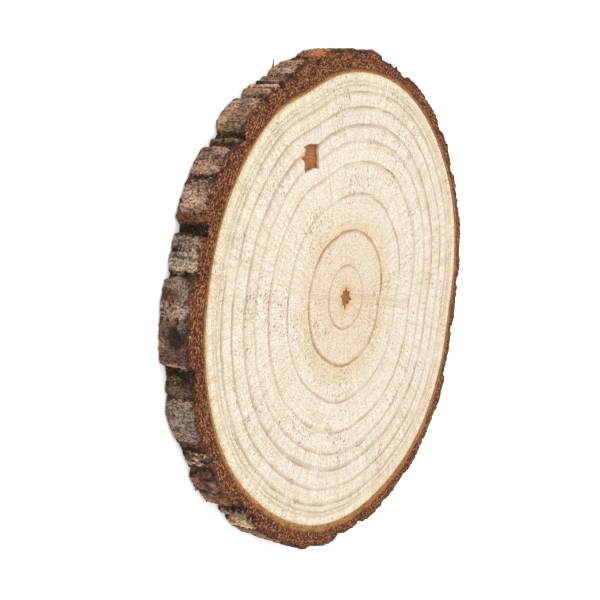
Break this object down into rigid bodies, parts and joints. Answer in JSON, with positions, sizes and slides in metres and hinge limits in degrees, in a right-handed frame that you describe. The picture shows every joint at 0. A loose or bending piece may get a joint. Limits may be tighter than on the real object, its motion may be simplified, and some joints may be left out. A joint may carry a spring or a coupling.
{
  "type": "wood slice",
  "caption": "Thin round slice sawn across a young conifer stem, with growth rings, a star-shaped pith, a small resin pocket and a rim of plated bark.",
  "frame": {"origin": "on the lower saw cut, under the middle of the outline's bounding box; the pith is 0.6 mm from it, at x -0.63 mm, y +0.10 mm", "axes": "+Z along the stem, up out of the upper saw cut, which is the one with the resin pocket; +X and +Y lie in the cut, with the resin pocket towards -X and -Y"},
  "size_m": [0.1474, 0.1464, 0.01],
  "materials": {
    "wood": "raw sawn face, rough bark on the rim"
  },
  "bodies": {
    "root": {"wood_slice": "wood"}
  },
  "joints": []
}
